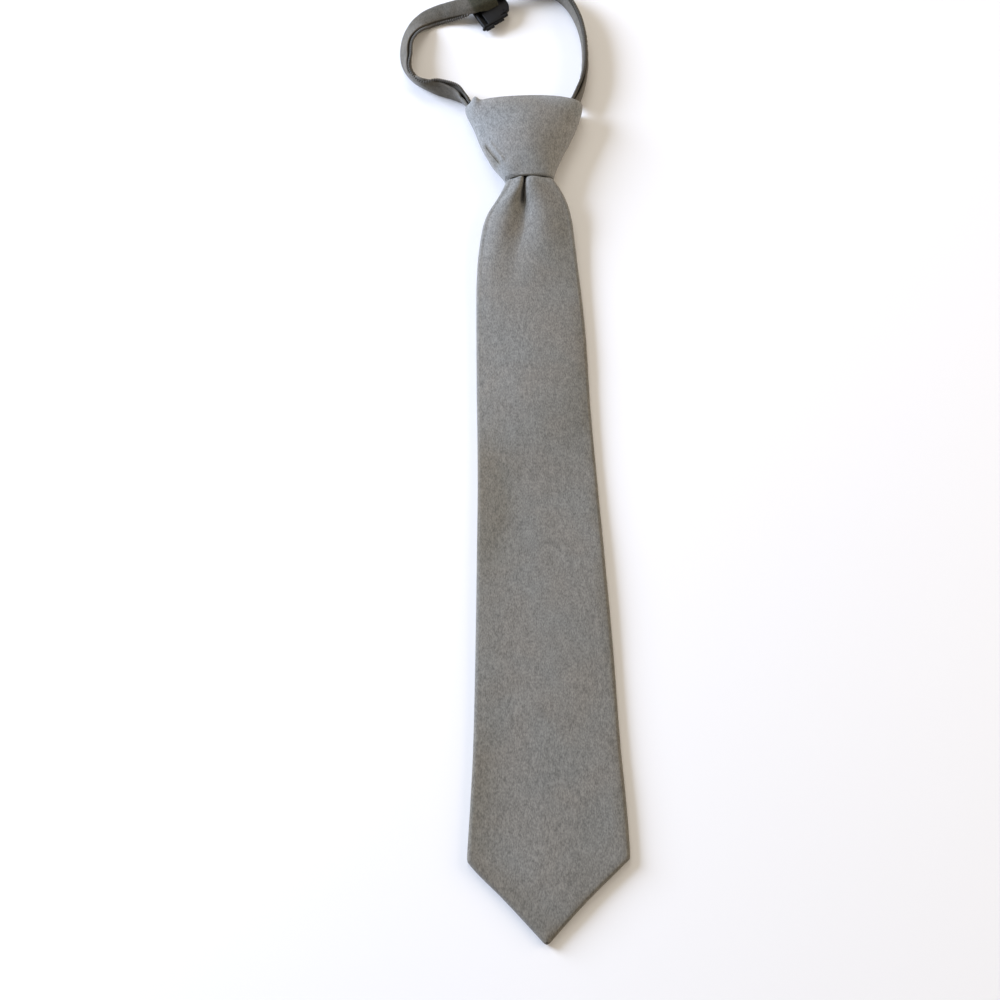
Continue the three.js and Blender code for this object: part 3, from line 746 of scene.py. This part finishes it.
def clip_place():
    """Where the clip lies: its own frame has X along it and its lower face at Z 0."""
    s = bpy.context.scene.tie_sizes
    rim = s.blade_length + s.knot_length
    spot = Vector((CLIP_ACROSS * s.loop_width, rim + CLIP_ALONG * s.loop_depth, CLIP_LIFT))
    turn = Matrix.Rotation(math.radians(CLIP_TURN), 4, "Z") @ Matrix.Rotation(math.radians(CLIP_TILT), 4, "Y")
    return Matrix.Translation(spot) @ turn


def band_rows(side):
    """The rows of one band from the slider to the clip: x, y, lift, lean, squeeze, gape and cover."""
    s = bpy.context.scene.tie_sizes
    rim = s.blade_length + s.knot_length
    base = s.knot_wall + CLEARANCE
    open_rows = [
        (
            r["across"] * s.loop_width, rim + r["along"] * s.loop_depth, r["lift"] * MM, r["lean"], 1,
            r["gape"] * MM, r["cover"],
        )
        for r in (LEFT if side < 0 else RIGHT)
    ]
    x, y, lift, lean, squeeze, gape, cover = open_rows[0]
    open_rows[0] = (x, y, lift + base + RIM_RISE, lean, RIM_SQUEEZE, gape, cover)
    start = s.blade_length + SLIDER_AT * s.knot_length + SLIDER_LENGTH - CLEARANCE * 3
    offset = (s.sleeve_width / 2 + s.coil_width) * INSIDE_SQUEEZE + CLEARANCE * 2
    hidden = [
        (mix(side * offset, x, t), mix(start, y, t), base + t * MM, mix(0, RIM_LEAN, t), INSIDE_SQUEEZE, 0, 0)
        for t in (0, 0.35, 0.7)
    ]
    lean, squeeze, shares = LEFT_END if side < 0 else RIGHT_END
    ends = []
    for along, across, cover in shares:
        on_clip = Vector((along * CLIP_LENGTH, across * CLIP_WIDTH, CLIP_THICKNESS + CLEARANCE))
        ends.append((*(clip_place() @ on_clip), lean, squeeze, 0, cover))
    return hidden + open_rows + ends


def band_outlines():
    """The outline of the sleeve with its coil, as in the solids, for finding the lowest point."""
    s = bpy.context.scene.tie_sizes
    outer, foot, top = s.sleeve_thickness / 2, -s.sleeve_width / 2, s.sleeve_width / 2
    arc = [math.pi * i / 4 for i in range(5)]
    sleeve = [(-outer, top), (outer, top)]
    sleeve += [(-outer * math.cos(a), foot + outer - outer * math.sin(a)) for a in arc]
    bead, tip = s.coil_thickness / 2, top + s.coil_width
    return sleeve + [(-bead, tip - bead * 0.4), (bead, tip - bead * 0.4), (0, tip)]


def band_stations(side, count):
    """Places along a band, each with the directions of its width, towards the coil, and of its thickness,
    outwards, and with its squeeze, gape and cover."""
    rows = band_rows(side)
    outline = band_outlines()
    path = [row[:3] for row in rows]
    turn = [row[3:5] for row in rows]
    found = []
    for i in range(count + 1):
        t = i / count
        spot = Vector(curve_at(path, t))
        ahead = Vector(curve_at(path, min(1, t + 1e-4))) - Vector(curve_at(path, max(0, t - 1e-4)))
        lean, squeeze = curve_at(turn, t)
        level = Vector((ahead.x, ahead.y, 0)).normalized()
        wide = Vector((-level.y, level.x, 0)) * side * math.cos(math.radians(lean))
        wide.z = math.sin(math.radians(lean))
        thick = wide.cross(level) * side
        lowest = min(thick.z * x + wide.z * y * squeeze for x, y in outline)
        spot.z = max(0, spot.z) - lowest
        k = min(int(t * (len(rows) - 1)), len(rows) - 2)
        part = ease(0, 1, t * (len(rows) - 1) - k)
        gape, cover = [mix(a, b, part) for a, b in zip(rows[k][5:], rows[k + 1][5:])]
        found.append((spot, wide, thick, squeeze, gape, cover))
    return found


def sleeve_section(gape, cover, hem, wave):
    """One section of a sleeve: folded cloth, open along its upper edge, as places across and along its width.
    Its outer wall stands away from the tape by the gape, and folds over the coil by the share cover."""
    s = bpy.context.scene.tie_sizes
    outer, fold = s.sleeve_thickness / 2, (s.sleeve_thickness - s.sleeve_width) / 2
    top, count = s.sleeve_width / 2, 14

    def face(t, sign):
        """A place on a wall's face, at a share of its width."""
        x = outer * mix(1, 0.78, t * t) + math.sin(math.pi * t) * (0.22 * MM + wave)
        y = mix(fold, top - s.ply * 0.35, t)
        if sign < 0:
            x += gape * t**1.5
            x = mix(x, -0.5 * outer, cover * ease(0.72, 1, t) ** 0.7)
            y += cover * (s.coil_width + s.ply * 1.1) * ease(0.5, 0.95, t)
        return Vector((sign * x * hem, y))

    def wall(sign):
        """The two faces of a wall, from the fold up, and the round edge between them."""
        outside = [face(i / count, sign) for i in range(count + 1)]
        inside = []
        for i, spot in enumerate(outside):
            run = (outside[min(i + 1, count)] - outside[max(i - 1, 0)]).normalized()
            inside.append(spot - sign * s.ply * Vector((run.y, -run.x)))
        tip = (outside[-1] - outside[-2]).normalized() * s.ply
        round_edge = ((0.12, 0.22), (0.5, 0.35), (0.88, 0.22))
        edge = [outside[-1].lerp(inside[-1], a) + tip * b for a, b in round_edge]
        return outside, edge, inside

    def bend(radius, angles):
        """The bend at the fold."""
        return [Vector((-radius * math.cos(a) * hem, fold - radius * math.sin(a))) for a in angles]

    outside, edge, inside = wall(-1)
    section = edge[::-1] + outside[::-1] + bend(outer, [math.pi * i / 12 for i in range(1, 12)])
    back = bend(outer - s.ply, [math.pi * i / 4 for i in (3, 2, 1)]) + inside
    outside, edge, inside = wall(1)
    section += outside + edge + inside[::-1] + back
    return section + section[:1]


def on_band(station, x, y):
    """The place on a band at x across its thickness and y along its width."""
    spot, wide, thick, squeeze = station[:4]
    return spot + thick * x + wide * (y * squeeze)


def before_clip(side, stations):
    """The stations up to where the left sleeve, sewn shut and without its zipper, goes over the clip."""
    to_clip = clip_place().inverted()
    return [station for station in stations if side > 0 or (to_clip @ station[0]).x < -0.5 * MM]


def band_cloth(side, name):
    """The sleeve of one band, with its ends pressed flat and sewn. Gives the band's length."""
    count = 230
    stations = band_stations(side, count)
    rings = []
    for i, station in enumerate(stations):
        hem = mix(0.75, 1, ease(0, 5, min(i, count - i)))
        wave = noise.noise(Vector((i / 9, side * 5.0, 0.3))) * 0.35 * MM
        ring = [on_band(station, x, y) for x, y in sleeve_section(*station[4:], hem, wave)]
        for place in ring:
            place.z = max(0, place.z)
        rings.append(ring)
    bm = bmesh.new()
    cover(bm, rings)
    to_clip = clip_place().inverted()

    def over_clip(place):
        """The left sleeve is drawn darker and greener over the clip."""
        return ease(-0.6 * MM, 1.2 * MM, (to_clip @ place).x) if side < 0 else 0

    piece = dress(
        f"neck_band_{name}_cloth", bm, "band", [f"neck_band_{name}"], levels=0, tone=over_clip
    )
    run = sum((a[0] - b[0]).length for a, b in zip(stations, stations[1:]))
    return run


def zipper_tape(side, name):
    """The woven tape inside the sleeve, up to the coil on its edge."""
    s = bpy.context.scene.tie_sizes
    half, top = s.tape_thickness / 2, s.sleeve_width / 2
    section = [
        (half, top - s.tape_depth),
        (half, top - s.tape_depth / 2),
        (half, top + s.coil_width * 0.8),
        (-half, top + s.coil_width * 0.8),
        (-half, top - s.tape_depth / 2),
        (-half, top - s.tape_depth),
        (half, top - s.tape_depth),
    ]
    stations = before_clip(side, band_stations(side, 160))
    bm = bmesh.new()
    cover(bm, [[on_band(station, x, y) for x, y in section] for station in stations])
    dress(f"zipper_{name}_tape", bm, "tape", [f"zipper_{name}"], levels=0)


WIRE = 0.34 * MM  # radius of the coils' wire


def wire_rings(line, crossways):
    """Six-sided rings of the coils' wire round a line of places, each given with a direction that the wire
    doesn't take there."""
    last = len(line) - 1
    rings = []
    for i, (spot, crossway) in enumerate(zip(line, crossways)):
        ahead = (line[min(i + 1, last)] - line[max(i - 1, 0)]).normalized()
        across = crossway.cross(ahead).normalized()
        other = ahead.cross(across)
        angles = [math.pi * k / 3 for k in range(7)]
        rings.append([spot + (across * math.cos(a) + other * math.sin(a)) * WIRE for a in angles])
    return rings


def zipper_coil(side, name, run):
    """The nylon coil: a flat spiral sewn to the edge of the tape."""
    s = bpy.context.scene.tie_sizes
    steps = 10  # of one turn
    reach, lift = s.coil_thickness / 2 - WIRE, s.coil_width / 2 - WIRE
    centre = s.sleeve_width / 2 + s.coil_width / 2 + 0.15 * MM
    stations = before_clip(side, band_stations(side, int(run / s.coil_pitch) * steps))
    line = []
    for i, station in enumerate(stations):
        angle = 2 * math.pi * i / steps
        line.append(on_band(station, reach * math.cos(angle), centre + lift * math.sin(angle)))
    bm = bmesh.new()
    cover(bm, wire_rings(line, [station[1] for station in stations]))
    dress(f"zipper_{name}_coil", bm, "coil", [f"zipper_{name}"], levels=0)


def sleeve_stitches(side, name, run):
    """The lines of stitches that hold the sleeve to the tape, one on each face."""
    s = bpy.context.scene.tie_sizes
    count = int(run / (s.stitch * 1.15))
    stations = before_clip(side, band_stations(side, count))
    bm = bmesh.new()
    inset = s.sleeve_width / 2 - 1.5 * MM
    for i in range(4, len(stations) - 2):
        ahead = stations[i + 1][0] - stations[i - 1][0]
        for face in (-1, 1):
            lean = stations[i][4] * 0.75 if face < 0 else 0
            x = face * (s.sleeve_thickness / 2 * 0.9 + lean)
            stitch(bm, on_band(stations[i], x, inset), ahead, s.stitch * 0.8, 0.14 * MM)
    dress(f"sleeve_{name}_stitches", bm, "thread", [], levels=0, closed=False)


def edges_of(verts):
    """The edges at some vertices, each once and always in the same order."""
    return list(dict.fromkeys(edge for vert in verts for edge in vert.link_edges))


def soft_block(bm, middle, size, radius):
    """A block with rounded edges."""
    shape = Matrix.Translation(middle) @ Matrix.Diagonal((*size, 1))
    edges = edges_of(bmesh.ops.create_cube(bm, size=1.0, matrix=shape)["verts"])
    bmesh.ops.bevel(bm, geom=edges, offset=radius, segments=3, profile=0.5, affect="EDGES", material=-1)


def zipper_tail():
    """The closed zipper behind the blade: its two tapes as one strip, their meshed coils, and a stop."""
    s = bpy.context.scene.tie_sizes
    start = s.blade_length - s.tail_length
    end = s.blade_length + SLIDER_AT * s.knot_length - 0.4 * MM
    half, low, high = s.tail_width / 2, 0.9 * MM, 0.9 * MM + s.tape_thickness
    across = [-half, -half * 0.5, 0, half * 0.5, half]
    rings = []
    for i in range(61):
        y = mix(start, end, i / 60)
        base = tail_base(y)
        over = [Vector((x, y, base + high)) for x in across]
        under = [Vector((x, y, base + low)) for x in reversed(across)]
        rings.append([*over, *under, over[0].copy()])
    bm = bmesh.new()
    cover(bm, rings)
    tape = dress("zipper_tail_tape", bm, "tape", ["zipper_tail"], levels=0)
    # Each coil is a helix along Y. Its centre lies beside the middle and above the base, and it reaches
    # sideways and rises by these lengths.
    beside, above, reach, rise = 0.75 * MM, 1.15 * MM, 1.15 * MM, 0.85 * MM
    turn = 12  # steps of one turn
    steps = int((end - start) / s.coil_pitch) * turn
    bm = bmesh.new()
    for phase, sign in ((0, 1), (math.pi, -1)):
        line = []
        for i in range(steps + 1):
            y = mix(start + 3 * MM, end, i / steps)
            angle = 2 * math.pi * i / turn + phase
            x = sign * (beside + reach * math.cos(angle))
            line.append(Vector((x, y, tail_base(y) + above + rise * math.sin(angle))))
        cover(bm, wire_rings(line, [Vector((0, 1, 0))] * len(line)))
    soft_block(bm, (0, start + 2 * MM, 1.2 * MM), (6 * MM, 2.4 * MM, 2 * MM), 0.5 * MM)
    dress("zipper_tail_coil", bm, "coil", ["zipper_tail"], levels=0)


# Hardware


SHARP = math.radians(35)  # a sharper edge than this isn't shaded smooth


def moulded(name, node, which, radius):
    """A copy of a solid with its sharp edges rounded."""
    bm = bmesh.new()
    bm.from_mesh(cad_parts[node].data)
    bmesh.ops.remove_doubles(bm, verts=bm.verts, dist=1e-6)
    bmesh.ops.dissolve_limit(bm, angle_limit=math.radians(1), verts=bm.verts, edges=bm.edges)
    sharp = [edge for edge in bm.edges if edge.is_manifold and edge.calc_face_angle() > math.radians(40)]
    bmesh.ops.bevel(
        bm, geom=sharp, offset=radius, segments=3, profile=0.5, affect="EDGES", clamp_overlap=True,
        material=-1,
    )
    bmesh.ops.translate(bm, verts=bm.verts, vec=-shift())
    piece = dress(name, bm, which, [node], levels=0, closed=False)
    piece.data.set_sharp_from_angle(angle=SHARP)


def clip_details():
    """Small forms on the clip: its round bar with a knob, the web under its slot, the ledges along its lower
    edge and the eye at its round end."""
    bm = bmesh.new()
    # The web and three ledges: their low and high corners in the clip's frame, in millimetres.
    for low, high in (
        # The web closes the slot from below, so the slot shows black plastic instead of the floor.
        ((1.2, -8.2, 0.1), (3.8, 8.2, 0.7)),
        ((0.6, -11.2, 0.5), (5.6, -9, 2.2)),
        ((6.3, -10.3, 0.5), (12.4, -9, 2.2)),
        ((12, -8.9, 0.5), (15.6, -6.8, 2.2)),
    ):
        low, high = Vector(low) * MM, Vector(high) * MM
        soft_block(bm, (low + high) / 2, high - low, 0.25 * MM)
    bar = Matrix.Translation((0.75 * MM, 0, 1.9 * MM)) @ Matrix.Rotation(math.pi / 2, 4, "X")
    radius = 0.85 * MM
    bmesh.ops.create_cone(
        bm, cap_ends=True, segments=20, radius1=radius, radius2=radius, depth=18.4 * MM, matrix=bar
    )
    knob = Matrix.Translation((-0.1 * MM, -9.7 * MM, 1.7 * MM))
    bmesh.ops.create_uvsphere(bm, u_segments=16, v_segments=10, radius=1.1 * MM, matrix=knob)
    eye = Vector((14.7 * MM, -6 * MM, 2.6 * MM))
    section = Matrix.Translation(eye + Vector((0.9 * MM, 0, 0))) @ Matrix.Rotation(math.pi / 2, 4, "X")
    circle = bmesh.ops.create_circle(bm, segments=8, radius=0.25 * MM, matrix=section)["verts"]
    bmesh.ops.spin(
        bm, geom=edges_of(circle) + circle, cent=eye, axis=(0, 0, 1), angle=2 * math.pi, steps=20,
        use_merge=True,
    )
    bmesh.ops.transform(bm, matrix=clip_place(), verts=bm.verts)
    piece = dress("neck_clip_details", bm, "plastic", [], levels=0, closed=False)
    piece.data.set_sharp_from_angle(angle=SHARP)


# The lights: a wide window beyond the neck, a cool one on the left and a warm fill on the right, each with
# its place and width in metres, its power in watts and its colour.
LIGHTS = (
    ("window_far", (-0.2, 1.5, 1.7), 1.2, 12, "fffaf2"),
    ("window_left", (-1.5, 0.66, 0.68), 0.9, 70, "d8e5ff"),
    ("fill_right", (1.5, 0.2, 0.8), 1.0, 12, "ffebd2"),
)
ROOM_COLOUR, ROOM_STRENGTH = "fbf3e8", 0.34  # the soft light from all sides
# The photo's view: the camera's place from the tie's tip, and its turns about Z, X and Z. Places and the
# lens are in millimetres, and turns in degrees.
CAMERA_PLACE = (-4.648, -61.723, 612.345)
CAMERA_TURNS = (2.686, 23.46, -3.72)
CAMERA_SENSOR, CAMERA_LENS = 36, 50.4
FLOOR_HALF = 4.0  # half the floor's width in metres


class TIE_OT_blade(bpy.types.Operator):
    """Makes the padded blade and the stitches of its back"""

    bl_idname = "zipper_tie.blade"
    bl_label = "Blade"
    bl_options = {"REGISTER", "UNDO"}

    def execute(self, context):
        blade_cloth()
        blade_stitches()
        return {"FINISHED"}


class TIE_OT_knot(bpy.types.Operator):
    """Makes the cloth wrap of the knot"""

    bl_idname = "zipper_tie.knot"
    bl_label = "Knot"
    bl_options = {"REGISTER", "UNDO"}

    def execute(self, context):
        knot_cloth()
        return {"FINISHED"}


class TIE_OT_bands(bpy.types.Operator):
    """Makes both neck bands with the zipper strips in them"""

    bl_idname = "zipper_tie.bands"
    bl_label = "Neck bands"
    bl_options = {"REGISTER", "UNDO"}

    def execute(self, context):
        for side, name in ((-1, "left"), (1, "right")):
            run = band_cloth(side, name)
            zipper_tape(side, name)
            zipper_coil(side, name, run)
            sleeve_stitches(side, name, run)
        return {"FINISHED"}


class TIE_OT_hardware(bpy.types.Operator):
    """Makes the closed zipper behind the blade, the slider and the neck clip"""

    bl_idname = "zipper_tie.hardware"
    bl_label = "Zipper tail, slider and clip"
    bl_options = {"REGISTER", "UNDO"}

    def execute(self, context):
        zipper_tail()
        moulded("zipper_slider_cast", "zipper_slider", "zinc", 0.5 * MM)
        moulded("neck_clip_moulding", "neck_clip", "plastic", 0.35 * MM)
        clip_details()
        return {"FINISHED"}


class TIE_OT_stage(bpy.types.Operator):
    """Makes the floor, the lights and the camera"""

    bl_idname = "zipper_tie.stage"
    bl_label = "Stage"
    bl_options = {"REGISTER", "UNDO"}

    def execute(self, context):
        scene = context.scene
        bm = bmesh.new()
        bmesh.ops.create_grid(bm, x_segments=1, y_segments=1, size=FLOOR_HALF)
        mesh = bpy.data.meshes.new("floor")
        bm.to_mesh(mesh)
        bm.free()
        floor = bpy.data.objects.new("floor", mesh)
        scene.collection.objects.link(floor)
        # The specks are so wide and so faint, and the bump so flat, that the floor stays plain.
        mesh.materials.append(
            smooth_stuff("matt_painted_floor", scene.tie_colours.floor, {"Roughness": 0.8}, 400, 0.0, 0.01)
        )

        world = bpy.data.worlds.new("studio")
        scene.world = world
        world.use_nodes = True
        world.node_tree.nodes.clear()
        glow = add_node(
            world.node_tree, "ShaderNodeBackground", None,
            {"Color": linear(ROOM_COLOUR), "Strength": ROOM_STRENGTH},
        )
        add_node(world.node_tree, "ShaderNodeOutputWorld", None, {"Surface": glow.outputs[0]})

        for name, place, size, power, code in LIGHTS:
            light = bpy.data.lights.new(name, "AREA")
            light.shape = "SQUARE"
            light.size, light.energy, light.color = size, power, linear(code)[:3]
            lamp = bpy.data.objects.new(name, light)
            lamp.location = place
            lamp.rotation_euler = (Vector((0, 0, 0)) - lamp.location).to_track_quat("-Z", "Y").to_euler()
            scene.collection.objects.link(lamp)

        data = bpy.data.cameras.new("camera")
        data.sensor_width, data.lens = CAMERA_SENSOR, CAMERA_LENS
        data.clip_start, data.clip_end = 0.01, 50
        camera = bpy.data.objects.new("camera", data)
        first, tilt, last = [
            Matrix.Rotation(math.radians(angle), 4, axis) for angle, axis in zip(CAMERA_TURNS, "ZXZ")
        ]
        spot = Vector(CAMERA_PLACE) * MM + shift()
        camera.matrix_world = Matrix.Translation(spot) @ first @ tilt @ last
        scene.collection.objects.link(camera)
        scene.camera = camera
        scene.view_settings.view_transform = "Standard"
        return {"FINISHED"}


OPERATORS = (TIE_OT_blade, TIE_OT_knot, TIE_OT_bands, TIE_OT_hardware, TIE_OT_stage)


class TIE_PT_panel(bpy.types.Panel):
    """Lists the sizes, the colours and the pieces of the tie"""

    bl_idname = "TIE_PT_panel"
    bl_label = "Zipper tie"
    bl_space_type = "VIEW_3D"
    bl_region_type = "UI"
    bl_category = "Tie"

    def draw(self, context):
        for group in (context.scene.tie_sizes, context.scene.tie_colours):
            box = self.layout.box()
            for name in group.__annotations__:
                box.prop(group, name)
        for operator in OPERATORS:
            self.layout.operator(operator.bl_idname)


CLASSES = (TieSizes, TieColours, *OPERATORS, TIE_PT_panel)


def register():
    """Registers the classes and hangs both groups of settings on the scene."""
    for cls in CLASSES:
        bpy.utils.register_class(cls)
    bpy.types.Scene.tie_sizes = bpy.props.PointerProperty(type=TieSizes)
    bpy.types.Scene.tie_colours = bpy.props.PointerProperty(type=TieColours)


def unregister():
    """Takes both groups and the classes away again."""
    del bpy.types.Scene.tie_colours
    del bpy.types.Scene.tie_sizes
    for cls in reversed(CLASSES):
        bpy.utils.unregister_class(cls)


def main():
    """Builds the tie and its stage."""
    register()
    bpy.ops.zipper_tie.stage()
    bpy.ops.zipper_tie.blade()
    bpy.ops.zipper_tie.knot()
    bpy.ops.zipper_tie.bands()
    bpy.ops.zipper_tie.hardware()


if __name__ == "__main__":
    main()
